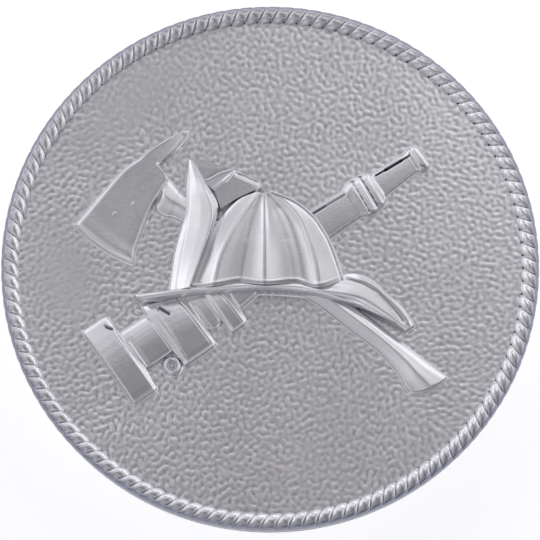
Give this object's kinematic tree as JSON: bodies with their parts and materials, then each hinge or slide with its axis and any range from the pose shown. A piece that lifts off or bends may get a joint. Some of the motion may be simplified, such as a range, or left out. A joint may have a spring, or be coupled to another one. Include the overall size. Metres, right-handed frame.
{
  "type": "insignia pin",
  "caption": "Round metal insignia pin with a rope border, a stippled field and a raised helmet over a crossed axe and hose nozzle, with a post and round nut behind.",
  "frame": {"origin": "under the middle of the nut, on the surface that the pin lies on", "axes": "+Z out of the face of the badge, +Y towards the top of the emblem, +X to its right"},
  "size_m": [0.0254, 0.0254, 0.0064],
  "materials": {
    "bright_nickel": "polished nickel plate on brass",
    "satin_nickel": "satin nickel plate on brass, finely stippled on the field"
  },
  "bodies": {
    "root": {"disc": "satin_nickel", "rope_border": "bright_nickel", "axe_head": "bright_nickel", "axe_handle": "bright_nickel", "hose_nozzle": "bright_nickel", "helmet_crown": "bright_nickel", "helmet_brim": "bright_nickel", "helmet_shield": "bright_nickel", "shield_bracket": "bright_nickel", "back_post": "satin_nickel"}
  },
  "joints": []
}
